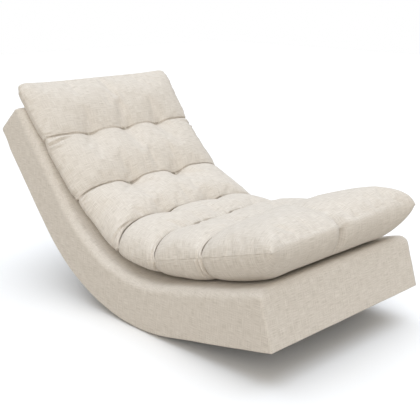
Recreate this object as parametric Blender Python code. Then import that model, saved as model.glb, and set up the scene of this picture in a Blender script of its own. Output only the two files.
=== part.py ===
"""Rocking lounger: an upholstered, curved plywood base that rocks on its belly, and a tufted mattress.

Metres, +Z up. The sitter faces -Y, so the sitter's right is -X. The origin is on the floor, at the
middle of the box around the chair.

Everything follows one side profile: a straight seat front, an arc and a straight back. A place on it
is (run, depth): run is the length along the deck from the floor contact line, positive towards the
head, and depth is the distance in from the rolling surface, square to it.
"""
from math import cos, pi, radians

import bmesh
import bpy
import numpy as np

# Side profile
WIDTH = 0.700             # outside width of the base
BELLY_RADIUS = 0.665      # radius of the rolling surface
BACK_ANGLE = radians(50)  # slope of the straight back
FRONT_ANGLE = radians(13)  # rise of the straight seat front
BACK_LENGTH = 0.387       # straight back, past the arc
FRONT_LENGTH = 0.422      # straight seat front, past the arc
BAND_DEPTH = 0.164        # from the rolling surface to the top of the deck cover
FACET_ANGLE = radians(4.2)  # the arc is made of flats; one of them is centred on the contact line

# Sheet thicknesses
CLEARANCE = 0.0003        # gap between pieces that touch
WELD = 0.00001            # points closer than this are one
STRIP_THICKNESS = 0.003   # rubber floor strips
COVER_THICKNESS = 0.002   # fabric panels of the base
PAD_THICKNESS = 0.008     # wadding on the sides and ends
DECK_FOAM_THICKNESS = 0.020
DECK_BOARD_THICKNESS = 0.006
BELLY_BOARD_THICKNESS = 0.005
FRAME_THICKNESS = 0.018   # plywood side frames
END_BOARD_THICKNESS = 0.018

# Floor strips
STRIP_WIDTH = 0.036
STRIP_INSET = 0.022       # from the base's side to the strip
STRIP_FRONT_REACH = 0.250  # how far the strips run along the straight front
STRIP_BACK_REACH = 0.060  # and along the straight back

# Rails, blocks and ballast
DECK_RAIL_COUNT = 5
DECK_RAIL_WIDTH = 0.045
DECK_RAIL_DEPTH = 0.028
BELLY_RAIL_COUNT = 3
BELLY_RAIL_WIDTH = 0.045
BELLY_RAIL_DEPTH = 0.022
CORNER_BLOCK_SIZE = 0.030
BALLAST_WIDTH = 0.060     # along the run
BALLAST_DEPTH = 0.022
KEEPER_WIDTH = 0.025
STRAP_WIDTH = 0.030
STRAP_THICKNESS = 0.003
STRAP_PLACE = 0.180       # from the middle plane to each strap's middle

# Hook and loop strips
GRIP_LENGTH = 0.300       # across the chair
GRIP_WIDTH = 0.040        # along the run
GRIP_THICKNESS = 0.0015   # of the loop strip, and of the hook strip

# Mattress: six channels between the front seam and the head seam
MATTRESS_MARGIN = 0.008   # from the base's side to the mattress's side seam
MATTRESS_FRONT = -0.575   # run of the front seam
FRONT_CHANNEL = 0.297     # length of the front channel
CHANNEL = 0.232           # length of each middle channel
HEAD_CHANNEL = 0.242      # length of the head channel
CHANNEL_COUNT = 6
SEAM_HEIGHTS = (0.102, 0.082, 0.067, 0.052, 0.039, 0.033, 0.029)  # edge seam over the deck, row by row
CROWN_HEIGHTS = (0.092, 0.089, 0.094, 0.106, 0.063, 0.054, 0.044)  # crown over the seam, row by row
ROW_SHARES = (1.0, 0.70, 0.70, 0.59, 0.74, 0.60, 1.0)  # height left along a row, as a share of the crown
ROW_EDGE_SHARES = (1.0, 0.42, 0.51, 0.48, 0.62, 0.44, 1.0)  # the same at the side edges
ROW_EDGE_POWER = 1.5      # how late across the mattress the one becomes the other
ROW_BENDS = (0.0, -0.023, -0.048, -0.060, -0.024, 0.005, 0.0)  # how far a row turns off at the side edges
ROW_BEND_POWER = 5        # how late it turns
TUFT_DEPTHS = (0.0, 0.23, 0.36, 0.37, 0.62, 0.72, 0.0)  # how much of what is left the tufts draw in
TUFT_RADIUS = 0.040
TUFT_PITCH = 0.165        # between the tufts of a row of three
TOP_SWELL = (1.9, 0.89)   # how full and how round a channel's top is
TOP_EDGE_SWELL = (5.8, 0.82)  # the same, over the mattress's side edges
TOP_CORNER = 5.0          # how full the top is at the corners
UNDER_SWELL = (4.0, 0.5)  # a channel's underside, flattened by the deck
UNDER_ROWS = 0.2          # how little the rows lift the underside, a power of what they leave
UNDERCUT = 0.80           # how far in from the seam the underside meets the deck, by the seam's height
UNDERCUT_BEND = 8         # how tight the bend is there
TICKING = 0.0025          # thickness of the mattress covers
FILL_MARGIN = 0.008       # between a fill roll's end and its sewn row
TIE_RADIUS = 0.0015
TIE_SIDES = 8
CHANNEL_STEPS = 6         # grid steps along a channel
EVEN_STEPS = 4            # grid steps from the middle plane to the rounded edge
EDGE_STEPS = 3            # grid steps over the rounded edge

SIDES = (("right", -1), ("left", 1))

# Values that follow from the sizes above
DECK_RADIUS = BELLY_RADIUS - BAND_DEPTH
RUN_FRONT = -DECK_RADIUS * FRONT_ANGLE - FRONT_LENGTH
RUN_HEAD = DECK_RADIUS * BACK_ANGLE + BACK_LENGTH
BELLY_COVER_DEPTH = STRIP_THICKNESS + CLEARANCE
BELLY_BOARD_DEPTH = BELLY_COVER_DEPTH + COVER_THICKNESS + CLEARANCE
FRAME_DEPTH = BELLY_BOARD_DEPTH + BELLY_BOARD_THICKNESS + CLEARANCE
DECK_COVER_DEPTH = BAND_DEPTH - COVER_THICKNESS
DECK_FOAM_DEPTH = DECK_COVER_DEPTH - CLEARANCE - DECK_FOAM_THICKNESS
DECK_BOARD_DEPTH = DECK_FOAM_DEPTH - CLEARANCE - DECK_BOARD_THICKNESS
FRAME_TOP = DECK_BOARD_DEPTH - CLEARANCE
LAYERS = COVER_THICKNESS + CLEARANCE + PAD_THICKNESS + CLEARANCE
CARCASS_HALF = WIDTH / 2 - LAYERS
CARCASS_FRONT = RUN_FRONT + LAYERS
CARCASS_HEAD = RUN_HEAD - LAYERS
FRAME_INSIDE = CARCASS_HALF - FRAME_THICKNESS
RAIL_HALF = FRAME_INSIDE - CLEARANCE
BAY_FRONT = CARCASS_FRONT + END_BOARD_THICKNESS + CLEARANCE
BAY_HEAD = CARCASS_HEAD - END_BOARD_THICKNESS - CLEARANCE

MATTRESS_WIDTH = WIDTH - 2 * MATTRESS_MARGIN
MATTRESS_HALF = MATTRESS_WIDTH / 2
TUFT_STEP = TUFT_PITCH / 3
FIRST_ROW = MATTRESS_FRONT + FRONT_CHANNEL
ROWS = [MATTRESS_FRONT] + [FIRST_ROW + CHANNEL * k for k in range(CHANNEL_COUNT - 1)]
ROWS += [ROWS[-1] + HEAD_CHANNEL]
FACET_RISE = BELLY_RADIUS * (1 - cos(FACET_ANGLE / 2))
MATTRESS_LIFT = 2 * GRIP_THICKNESS + 3 * CLEARANCE + DECK_RADIUS * (1 - cos(FACET_ANGLE / 2))


def place(run, depth):
    """(y, z) of a place on the side profile, before the chair is set on its origin."""
    angle = np.clip(run / DECK_RADIUS, -FRONT_ANGLE, BACK_ANGLE)
    past = run - angle * DECK_RADIUS
    y = (BELLY_RADIUS - depth) * np.sin(angle) + past * np.cos(angle)
    z = BELLY_RADIUS - (BELLY_RADIUS - depth) * np.cos(angle) + past * np.sin(angle)
    return y, z


def slope(run):
    """Slope of the profile at a run, in radians."""
    return float(np.clip(run / DECK_RADIUS, -FRONT_ANGLE, BACK_ANGLE))


def stations(run_from, run_to):
    """The runs of an outline's corners: its ends, and the arc's ends and flats between them."""
    corners = [-FRONT_ANGLE, BACK_ANGLE]
    flats = int(2 * pi / FACET_ANGLE)
    corners += [(k + 0.5) * FACET_ANGLE for k in range(-flats, flats)]
    inside = [a * DECK_RADIUS for a in corners if -FRONT_ANGLE <= a <= BACK_ANGLE]
    inside = [run for run in inside if run_from < run < run_to]
    return np.array([run_from] + sorted(inside) + [run_to])


def finish(name, colour, roughness, metallic=0.0):
    """A Principled material."""
    material = bpy.data.materials.new(name)
    material.use_nodes = True
    shader = material.node_tree.nodes["Principled BSDF"]
    shader.inputs["Base Color"].default_value = (*colour, 1.0)
    shader.inputs["Roughness"].default_value = roughness
    shader.inputs["Metallic"].default_value = metallic
    material.diffuse_color = (*colour, 1.0)
    return material


def add(name, data, material, parent):
    """Puts a mesh or curve into the chair's collection under its parent empty."""
    data.materials.append(material)
    piece = bpy.data.objects.new(name, data)
    piece.parent = parent
    chair.objects.link(piece)
    return piece


def band(name, runs, depths, across, material, parent):
    """A slab between two runs and two depths of the profile, from one x to another."""
    along = stations(*runs)
    lower = np.stack(place(along, depths[0]), axis=1)
    upper = np.stack(place(along, depths[1]), axis=1)
    outline = np.concatenate([lower, upper[::-1]])
    curve = bpy.data.curves.new(name, "CURVE")
    curve.dimensions = "2D"
    curve.fill_mode = "BOTH"
    curve.extrude = (across[1] - across[0]) / 2
    spline = curve.splines.new("POLY")
    spline.points.add(len(outline) - 1)
    for point, (y, z) in zip(spline.points, outline):
        point.co = (y, z, 0, 1)
    spline.use_cyclic_u = True
    piece = add(name, curve, material, parent)
    piece.rotation_euler = (pi / 2, 0, pi / 2)
    piece.location.x = (across[0] + across[1]) / 2
    return piece


def side_span(sign, inner, outer):
    """The x limits of a piece on one side, from its distances to the middle plane."""
    return (inner, outer) if sign > 0 else (-outer, -inner)


def make_carcass(parent):
    """Plywood side frames, end boards, corner blocks, rails, and the bent deck and belly boards."""
    frame_depths = (FRAME_DEPTH, FRAME_TOP)
    whole = (CARCASS_FRONT, CARCASS_HEAD)
    between = (-RAIL_HALF, RAIL_HALF)
    for side, sign in SIDES:
        span = side_span(sign, FRAME_INSIDE, CARCASS_HALF)
        band(f"side_frame_{side}", whole, frame_depths, span, plywood, parent)

    front = (CARCASS_FRONT, CARCASS_FRONT + END_BOARD_THICKNESS)
    head = (CARCASS_HEAD - END_BOARD_THICKNESS, CARCASS_HEAD)
    band("front_board", front, frame_depths, between, plywood, parent)
    band("head_board", head, frame_depths, between, plywood, parent)

    block_floor = FRAME_DEPTH + BALLAST_DEPTH + STRAP_THICKNESS + 2 * CLEARANCE
    for side, sign in SIDES:
        span = side_span(sign, RAIL_HALF - CORNER_BLOCK_SIZE, RAIL_HALF)
        at_front = (BAY_FRONT, BAY_FRONT + CORNER_BLOCK_SIZE)
        at_head = (BAY_HEAD - CORNER_BLOCK_SIZE, BAY_HEAD)
        band(f"corner_block_front_{side}", at_front, (block_floor, FRAME_TOP), span, softwood, parent)
        band(f"corner_block_head_{side}", at_head, frame_depths, span, softwood, parent)

    rail_depths = (FRAME_TOP - DECK_RAIL_DEPTH, FRAME_TOP)
    for k, middle in enumerate(spread(DECK_RAIL_COUNT)):
        runs = (middle - DECK_RAIL_WIDTH / 2, middle + DECK_RAIL_WIDTH / 2)
        band(f"deck_rail_{k + 1}", runs, rail_depths, between, softwood, parent)
    rail_depths = (FRAME_DEPTH, FRAME_DEPTH + BELLY_RAIL_DEPTH)
    for k, middle in enumerate(spread(BELLY_RAIL_COUNT)):
        runs = (middle - BELLY_RAIL_WIDTH / 2, middle + BELLY_RAIL_WIDTH / 2)
        band(f"belly_rail_{k + 1}", runs, rail_depths, between, softwood, parent)

    carcass = (-CARCASS_HALF, CARCASS_HALF)
    deck = (DECK_BOARD_DEPTH, DECK_BOARD_DEPTH + DECK_BOARD_THICKNESS)
    belly = (BELLY_BOARD_DEPTH, BELLY_BOARD_DEPTH + BELLY_BOARD_THICKNESS)
    band("deck_board", whole, deck, carcass, plywood, parent)
    band("belly_board", whole, belly, carcass, plywood, parent)


def spread(count):
    """Runs that divide the bay between the end boards into equal stretches."""
    return np.linspace(BAY_FRONT, BAY_HEAD, count + 2)[1:-1]


def make_ballast(parent):
    """A steel bar in the corner of belly and front board, so that the chair rests level, not tipped back."""
    top = FRAME_DEPTH + BALLAST_DEPTH
    between = (-RAIL_HALF, RAIL_HALF)
    bar = (BAY_FRONT, BAY_FRONT + BALLAST_WIDTH)
    keeper = (bar[1] + CLEARANCE, bar[1] + CLEARANCE + KEEPER_WIDTH)
    band("ballast_bar", bar, (FRAME_DEPTH, top), between, steel, parent)
    band("ballast_keeper", keeper, (FRAME_DEPTH, top), between, softwood, parent)
    strap_depths = (top + CLEARANCE, top + CLEARANCE + STRAP_THICKNESS)
    for side, sign in SIDES:
        span = side_span(sign, STRAP_PLACE - STRAP_WIDTH / 2, STRAP_PLACE + STRAP_WIDTH / 2)
        band(f"ballast_strap_{side}", (bar[0], keeper[1]), strap_depths, span, steel, parent)


def make_upholstery(parent):
    """Wadding and fabric panels round the carcass, each panel as it is cut before sewing."""
    pad_depths = (BELLY_BOARD_DEPTH, DECK_COVER_DEPTH - CLEARANCE)
    carcass = (-CARCASS_HALF, CARCASS_HALF)
    pads_front = RUN_FRONT + COVER_THICKNESS + CLEARANCE
    pads_head = RUN_HEAD - COVER_THICKNESS - CLEARANCE
    foam = (DECK_FOAM_DEPTH, DECK_FOAM_DEPTH + DECK_FOAM_THICKNESS)
    band("deck_foam", (CARCASS_FRONT, CARCASS_HEAD), foam, carcass, wadding, parent)
    band("front_pad", (pads_front, pads_front + PAD_THICKNESS), pad_depths, carcass, wadding, parent)
    band("head_pad", (pads_head - PAD_THICKNESS, pads_head), pad_depths, carcass, wadding, parent)

    inside = WIDTH / 2 - COVER_THICKNESS - CLEARANCE
    for side, sign in SIDES:
        pad = side_span(sign, inside - PAD_THICKNESS, inside)
        cover = side_span(sign, WIDTH / 2 - COVER_THICKNESS, WIDTH / 2)
        band(f"side_pad_{side}", (pads_front, pads_head), pad_depths, pad, wadding, parent)
        whole = (RUN_FRONT, RUN_HEAD)
        band(f"side_cover_{side}", whole, (BELLY_COVER_DEPTH, BAND_DEPTH), cover, linen, parent)

    panel = (-inside, inside)
    deck = (DECK_COVER_DEPTH, BAND_DEPTH)
    end_depths = (BELLY_COVER_DEPTH, DECK_COVER_DEPTH - CLEARANCE)
    belly = (BELLY_COVER_DEPTH, BELLY_COVER_DEPTH + COVER_THICKNESS)
    band("deck_cover", (RUN_FRONT, RUN_HEAD), deck, panel, linen, parent)
    band("front_cover", (RUN_FRONT, RUN_FRONT + COVER_THICKNESS), end_depths, panel, linen, parent)
    band("head_cover", (RUN_HEAD - COVER_THICKNESS, RUN_HEAD), end_depths, panel, linen, parent)
    band("belly_cover", (pads_front, pads_head), belly, panel, lining, parent)


def make_floor_strips(parent):
    """Rubber strips under the belly: the chair rolls on them."""
    runs = (-DECK_RADIUS * FRONT_ANGLE - STRIP_FRONT_REACH, DECK_RADIUS * BACK_ANGLE + STRIP_BACK_REACH)
    for side, sign in SIDES:
        outer = WIDTH / 2 - STRIP_INSET
        span = side_span(sign, outer - STRIP_WIDTH, outer)
        band(f"floor_strip_{side}", runs, (0, STRIP_THICKNESS), span, rubber, parent)


def make_grips(deck_parent, mattress_parent):
    """Loop strips on the deck under the middles of two channels, and hook strips on the mattress."""
    across = (-GRIP_LENGTH / 2, GRIP_LENGTH / 2)
    loop = BAND_DEPTH + CLEARANCE
    hook = loop + GRIP_THICKNESS + CLEARANCE
    for k, channel in enumerate((1, CHANNEL_COUNT - 2)):
        middle = (ROWS[channel] + ROWS[channel + 1]) / 2
        runs = (middle - GRIP_WIDTH / 2, middle + GRIP_WIDTH / 2)
        band(f"loop_strip_{k + 1}", runs, (loop, loop + GRIP_THICKNESS), across, webbing, deck_parent)
        band(f"hook_strip_{k + 1}", runs, (hook, hook + GRIP_THICKNESS), across, webbing, mattress_parent)


def along_rows(run, sizes):
    """A mattress size that is given at each row, read evenly between the rows."""
    return np.interp(run, ROWS, sizes)


def seam_height(run):
    """Height of the edge seam over the deck."""
    return along_rows(run, SEAM_HEIGHTS) + MATTRESS_LIFT


def row_bend(run, x):
    """How far a line across the mattress turns off towards the head at a place across."""
    return along_rows(run, ROW_BENDS) * np.abs(x / MATTRESS_HALF) ** ROW_BEND_POWER


def tufts(row):
    """The x places of a row's tufts: three in every third row, two in the others."""
    if row % 3 == 2:
        return (-TUFT_PITCH, 0.0, TUFT_PITCH)
    return (-2 * TUFT_STEP, 2 * TUFT_STEP)


def swell(place_between, fullness, power):
    """Height of stuffed cloth, from 0 at its sewn edges (-1 and 1) to 1 in the middle."""
    return np.clip(1 - np.abs(place_between) ** fullness, 0, 1) ** power


def channel_steps():
    """Places along a channel from -1 to 1, closer together at its sewn edges."""
    return np.sin(np.linspace(-pi / 2, pi / 2, CHANNEL_STEPS + 1))


def cross_steps(half):
    """Places across the mattress: even ones that meet the tufts, and closer ones at the rounded edge."""
    even = np.arange(EVEN_STEPS + 1) * TUFT_STEP
    edge = even[-1] + (half - even[-1]) * np.sin(np.linspace(0, pi / 2, EDGE_STEPS + 1))[1:]
    right = np.concatenate([even, edge])
    return np.concatenate([-right[:0:-1], right])


def row_share(row, x):
    """Share of the crown that is left along a row: less at its side edges, and drawn in at its tufts."""
    out = np.abs(x / MATTRESS_HALF) ** ROW_EDGE_POWER
    left = ROW_SHARES[row] + (ROW_EDGE_SHARES[row] - ROW_SHARES[row]) * out
    for tuft in tufts(row):
        left = left * (1 - TUFT_DEPTHS[row] * np.exp(-((x - tuft) / TUFT_RADIUS) ** 2))
    return left


def soft_minimum(one, other, fullness):
    """The lower of two shares, rounded off where they meet, and not below their product."""
    rounded = 1 - ((1 - one) ** fullness + (1 - other) ** fullness) ** (1 / fullness)
    return np.maximum(rounded, one * other)


def undercut(distance):
    """Share of the way down to the deck at a distance from the seam; the deck is met at 1."""
    return distance / (1 + distance ** UNDERCUT_BEND) ** (1 / UNDERCUT_BEND)


def top_share(channel, q, x, half, left):
    """Height of a stuffed form over its seam as a share of its crown, given what its rows leave."""
    puff = swell(q, *TOP_SWELL)
    at_end = (channel == 0) & (q < 0) | (channel == CHANNEL_COUNT - 1) & (q > 0)
    border = soft_minimum(swell(x / half, *TOP_EDGE_SWELL), np.where(at_end, puff, 1), TOP_CORNER)
    return (left + (1 - left) * puff) * border


def under_share(run, q, x, half, ends, left):
    """Depth of a stuffed form under its seam as a share of the way to the deck; ends are its end seams."""
    reach = UNDERCUT * seam_height(run)
    to_end = np.minimum(run - ends[0], ends[1] - run)
    border = undercut((half - np.abs(x)) / reach) * undercut(to_end / reach)
    left = left ** UNDER_ROWS
    return (left + (1 - left) * swell(q, *UNDER_SWELL)) * border


def cover_heights(run, channel, q, x, underside, inset):
    """Height over the deck of a mattress cover's outer face, or of its inner face, inset from it."""
    seam = seam_height(run)
    half = MATTRESS_HALF - inset
    left = row_share(channel if q < 0 else channel + 1, x)
    if underside:
        edge = seam - CLEARANCE / 2
        ends = (ROWS[0] + inset, ROWS[-1] - inset)
        return edge - (edge - MATTRESS_LIFT - inset) * under_share(run, q, x, half, ends, left)
    crown = along_rows(run, CROWN_HEIGHTS) - inset
    return seam + CLEARANCE / 2 + crown * top_share(channel, q, x, half, left)


def cover_sheet(underside, inset):
    """Points of a cover's outer face, or of its inner face, over all the channels."""
    across = cross_steps(MATTRESS_HALF - inset)
    steps = channel_steps()
    ends = [ROWS[0] + inset] + ROWS[1:-1] + [ROWS[-1] - inset]
    runs, heights = [], []
    for channel in range(CHANNEL_COUNT):
        for q in steps if channel == 0 else steps[1:]:
            run = ends[channel] + (q + 1) / 2 * (ends[channel + 1] - ends[channel])
            runs.append(run + row_bend(run, across))
            heights.append(cover_heights(run, channel, q, across, underside, inset))
    runs = np.array(runs)
    return sheet_points(runs, np.broadcast_to(across, runs.shape), np.array(heights))


def sheet_points(runs, across, heights):
    """Points of a sheet given its heights over the deck, rows along the run."""
    y, z = place(runs, BAND_DEPTH + heights)
    return np.stack([across, y, z], axis=-1)


def sheet_mesh(name, sheets):
    """One closed mesh of grid sheets that share their borders."""
    shape = bmesh.new()
    for points in sheets:
        rows, columns = points.shape[:2]
        grid = [[shape.verts.new(point) for point in line] for line in points]
        for i in range(rows - 1):
            for j in range(columns - 1):
                shape.faces.new([grid[i][j], grid[i][j + 1], grid[i + 1][j + 1], grid[i + 1][j]])
    bmesh.ops.remove_doubles(shape, verts=shape.verts, dist=WELD)
    bmesh.ops.recalc_face_normals(shape, faces=shape.faces)
    if shape.calc_volume(signed=True) < 0:
        bmesh.ops.reverse_faces(shape, faces=shape.faces)
    bmesh.ops.triangulate(shape, faces=shape.faces, quad_method="FIXED")
    mesh = bpy.data.meshes.new(name)
    shape.to_mesh(mesh)
    shape.free()
    mesh.shade_smooth()
    return mesh


def make_cover(name, underside, parent):
    """A mattress cover: a quilted sheet, its inner face, and the rim between them along the seam."""
    outer = cover_sheet(underside, 0)
    inner = cover_sheet(underside, TICKING)
    rims = [np.stack([outer[k], inner[k]]) for k in (0, -1)]
    rims += [np.stack([outer[:, k], inner[:, k]]) for k in (0, -1)]
    add(name, sheet_mesh(name, [outer, inner, *rims]), linen, parent)


def make_fills(parent):
    """A fill roll in each channel, clear of the covers by the clearance at its crown and underneath."""
    inset = TICKING + CLEARANCE
    margin = inset + FILL_MARGIN
    half = MATTRESS_HALF - margin
    ends = (ROWS[0] + margin, ROWS[-1] - margin)
    q, x = np.meshgrid(channel_steps(), cross_steps(half), indexing="ij")
    for channel in range(CHANNEL_COUNT):
        start, stop = ROWS[channel] + margin, ROWS[channel + 1] - margin
        run = start + (q + 1) / 2 * (stop - start)
        seam = seam_height(run)
        crown = along_rows(run, CROWN_HEIGHTS) - inset
        top = seam + crown * top_share(channel, q, x, half, 0)
        bottom = seam - (seam - MATTRESS_LIFT - inset) * under_share(run, q, x, half, ends, 0)
        along = run + row_bend(run, x)
        sheets = [sheet_points(along, x, top), sheet_points(along, x, bottom)]
        name = f"mattress_fill_{channel + 1}"
        add(name, sheet_mesh(name, sheets), wadding, parent)


def make_ties(parent):
    """The sewn ties that draw the two covers together at the tufts."""
    for row in range(1, CHANNEL_COUNT):
        run = ROWS[row]
        places = np.array(tufts(row))
        tops = cover_heights(run, row - 1, 1, places, False, TICKING) - CLEARANCE
        bottoms = cover_heights(run, row - 1, 1, places, True, TICKING) + CLEARANCE
        for k, (x, top, bottom) in enumerate(zip(places, tops, bottoms)):
            name = f"tuft_tie_{row}_{k + 1}"
            shape = bmesh.new()
            bmesh.ops.create_cone(shape, cap_ends=True, segments=TIE_SIDES, radius1=TIE_RADIUS,
                                  radius2=TIE_RADIUS, depth=top - bottom)
            mesh = bpy.data.meshes.new(name)
            shape.to_mesh(mesh)
            shape.free()
            tie = add(name, mesh, thread, parent)
            tie.location = (x, *place(run + row_bend(run, x), BAND_DEPTH + (top + bottom) / 2))
            tie.rotation_euler.x = slope(run)


for old in list(bpy.data.objects):
    bpy.data.objects.remove(old, do_unlink=True)

chair = bpy.data.collections.new("rocking_lounger")
bpy.context.scene.collection.children.link(chair)

linen = finish("beige_linen", (0.66, 0.60, 0.52), 0.95)
lining = finish("dark_lining", (0.05, 0.05, 0.05), 0.95)
wadding = finish("white_wadding", (0.85, 0.84, 0.80), 0.95)
plywood = finish("birch_plywood", (0.62, 0.46, 0.28), 0.6)
softwood = finish("softwood", (0.70, 0.52, 0.32), 0.65)
steel = finish("painted_steel", (0.08, 0.08, 0.09), 0.45, 0.6)
rubber = finish("black_rubber", (0.03, 0.03, 0.03), 0.85)
webbing = finish("grey_webbing", (0.30, 0.29, 0.27), 0.9)
thread = finish("pale_thread", (0.80, 0.76, 0.68), 0.9)

# The chair stands with the contact flat at z = 0 and the base's box centred on the origin
base = bpy.data.objects.new("base", None)
chair.objects.link(base)
front_edge = place(RUN_FRONT, BELLY_COVER_DEPTH)[0]
back_edge = place(RUN_HEAD, BELLY_COVER_DEPTH)[0]
base.location = (0, -(front_edge + back_edge) / 2, -FACET_RISE)
mattress = bpy.data.objects.new("mattress", None)
mattress.parent = base
chair.objects.link(mattress)

make_carcass(base)
make_ballast(base)
make_upholstery(base)
make_floor_strips(base)
make_grips(base, mattress)
make_cover("mattress_top_cover", False, mattress)
make_cover("mattress_bottom_cover", True, mattress)
make_fills(mattress)
make_ties(mattress)
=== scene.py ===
"""The looks of a rocking lounger: linen over its curved base, and a tufted mattress lying on it.

Metres, +Z up, in the frame of the solids. Places follow the side profile: run is the length along the deck
from the floor contact line, positive towards the head, and depth is the distance in from the rolling surface.
Heights of the mattress are measured over the deck.
"""

from math import pi, radians

import bmesh
import bpy
import numpy as np
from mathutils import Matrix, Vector


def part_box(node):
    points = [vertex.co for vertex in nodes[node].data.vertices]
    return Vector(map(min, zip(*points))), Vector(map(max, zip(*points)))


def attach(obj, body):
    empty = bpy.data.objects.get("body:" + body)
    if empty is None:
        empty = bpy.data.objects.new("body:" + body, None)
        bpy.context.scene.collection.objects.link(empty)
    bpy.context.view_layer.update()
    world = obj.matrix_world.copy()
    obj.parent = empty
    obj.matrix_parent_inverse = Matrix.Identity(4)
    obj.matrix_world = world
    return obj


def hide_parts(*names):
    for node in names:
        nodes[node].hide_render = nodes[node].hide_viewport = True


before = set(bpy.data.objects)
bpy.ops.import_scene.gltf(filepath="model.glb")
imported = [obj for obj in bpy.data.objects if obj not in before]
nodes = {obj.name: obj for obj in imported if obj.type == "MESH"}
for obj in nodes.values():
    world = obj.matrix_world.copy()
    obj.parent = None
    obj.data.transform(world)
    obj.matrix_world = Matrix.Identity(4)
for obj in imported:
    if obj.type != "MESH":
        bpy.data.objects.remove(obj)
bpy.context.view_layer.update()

# Side profile, as the solids have it
WIDTH = 0.700
BELLY_RADIUS = 0.665
BACK_ANGLE = radians(50)
FRONT_ANGLE = radians(13)
BACK_LENGTH = 0.387
FRONT_LENGTH = 0.422
BAND_DEPTH = 0.164
COVER_DEPTH = 0.0033       # where the cloth starts, above the floor strips
DECK_RADIUS = BELLY_RADIUS - BAND_DEPTH
RUN_FRONT = -DECK_RADIUS * FRONT_ANGLE - FRONT_LENGTH
RUN_HEAD = DECK_RADIUS * BACK_ANGLE + BACK_LENGTH

# Base upholstery
PROUD = 0.004              # how far the padded sides and ends stand out from the solids
ROUND_SIDE = 0.028         # rounding of the padded edges: in from the sides,
ROUND_END = 0.022          # in from the front and head ends,
ROUND_TOP = 0.028          # and down from the deck
ROUND_LOW = 0.004          # rounding of the stretched bottom edges,
ROUND_LOW_HEAD = 0.015     # and of the head end's
LOW_GROWS = (0.100, 0.030)  # distances from the head end between which the one changes to the other
ROUND_GROWS = (0.040, 0.132)  # depths between which an upright corner changes from low to top rounding
ROUND_CUTS = 6             # grid steps over half of an edge's rounding
UPRIGHT_SHARPNESS = 8.0    # how much crisper the upright edges are than a round, which has 2
BELLY_DEPTH = 0.0039       # the shell's underside, clear of the floor strips
BELLY_SAG = 0.005          # how far it hangs below that at the front
BELLY_SAG_FROM = (0.05, 0.45)  # how far before the contact line it starts to hang, and hangs in full
FRONT_ROLL = 0.008         # how much the deck's padding rises towards the front edge
FRONT_ROLL_FROM = (0.38, 0.52)  # how far before the contact line it starts to rise, and has risen in full
FRONT_LEAN = 0.010         # how far the front panel leans back at its top
FRONT_LEAN_REACH = 0.150   # how far behind the front end the lean is felt
SHELL_STEPS = (0.012, 0.008, 0.006)  # grid steps of the shell, across, along and up
SLACK = 0.0007             # height of the soft waves in the stretched cloth
# Those waves: radians a metre along two directions, and phase
SLACK_WAVES = ((23.0, 31.0, 0.3), (-41.0, 17.0, 1.9), (13.0, -57.0, 4.1),
               (67.0, 29.0, 2.6), (8.0, 11.0, 5.2))
WELT_DEPTH = 0.0007        # groove of a sewn edge
WELT_WIDTH = 0.0022
LINING_MARGIN = 0.030      # from the base's edges to the lining's
LINING_DEPTH = 0.0036
LINING_HEM = 0.006         # width of the hem that curls up to the shell
LINING_GRID = (80, 200)    # points of the lining, across and along
SHELL_HALF = WIDTH / 2 + PROUD
SHELL_FRONT = RUN_FRONT - PROUD
SHELL_HEAD = RUN_HEAD + PROUD

# Mattress: six channels between seven rows, the first and last row being the end seams
MATTRESS_HALF = 0.342
ROWS = np.array([-0.575, -0.278, -0.046, 0.191, 0.421, 0.646, 0.892])
# How far each row arches headwards off its tufts, and turns off at the right edge and at the left edge
ROW_ARCH = np.array([0.0, 0.004, 0.018, 0.006, 0.017, 0.007, 0.0])
ROW_BEND = np.array([[0.0, -0.023, -0.048, -0.060, -0.024, 0.009, 0.0],
                     [0.0, -0.023, -0.058, -0.060, -0.024, 0.001, 0.0]])
ROW_BEND_POWER = 5         # how late across the mattress it turns off
ARCH_REACH = 0.050         # how far a tuft holds the arch back
SEAM_HEIGHTS = np.array([0.106, 0.086, 0.071, 0.056, 0.043, 0.037, 0.033])
CROWN_HEIGHTS = np.array([0.073, 0.073, 0.090, 0.086, 0.051, 0.035, 0.034])
# Height left at each row, as a share of the crown: in the middle, at the right edge and at the left edge
ROW_SHARE = np.array([1.0, 0.84, 0.90, 0.66, 0.76, 0.80, 1.0])
ROW_SHARE_EDGE = np.array([[1.0, 0.52, 0.50, 0.54, 0.68, 0.72, 1.0],
                           [1.0, 0.52, 0.50, 0.54, 0.86, 0.78, 1.0]])
ROW_SHARE_POWER = 1.5      # how late across the mattress the one changes to the other
# How much softer the slope down to each row is in the middle, on its front and on its back
ROW_EASE = np.array([[0.0, 0.25, 1.2, 0.1, 0.0, 0.0, 0.0],
                     [0.0, 0.25, -0.1, 0.1, 0.0, 0.0, 0.0]])
ROW_EASE_TO = (0.3, 0.7)   # shares of the half width between which this fades out
CHANNEL_ROUND = 2.4        # how flat a channel's swell is on top
CHANNEL_SOFT = 0.55        # and how soft its slope down to a row is
TUFT_DEPTH = np.array([0.0, 0.15, 0.16, 0.40, 0.60, 0.60, 0.0])  # how much of a row's height a tuft draws in
SKEW = np.array([0.10, 0.04, 0.04, 0.06, 0.10, 0.14, 0.16])  # how far the stuffing has slid down
TUFT_RADIUS = 0.036
TUFT_PITCH = 0.165
NOTCH_DEPTH = np.array([0.0, 0.010, 0.015, 0.011, 0.009, 0.008, 0.0])  # sharp crease along a row
NOTCH_MIDDLE = np.array([0.0, 0.0, 0.7, 0.6, 0.35, 0.25, 0.0])  # share of it away from the tufts and edges
NOTCH_TUFT = np.array([0.0, 0.1, 0.9, 0.7, 0.9, 0.8, 0.0])  # and at the tufts
NOTCH_EDGE = np.array([0.0, 1.0, 0.5, 1.0, 1.0, 1.0, 0.0])  # and at the side edges
NOTCH_EDGE_FROM = (0.5, 0.9)  # shares of the half width between which the edge's share comes in
NOTCH_WIDTH = 0.0026
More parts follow.
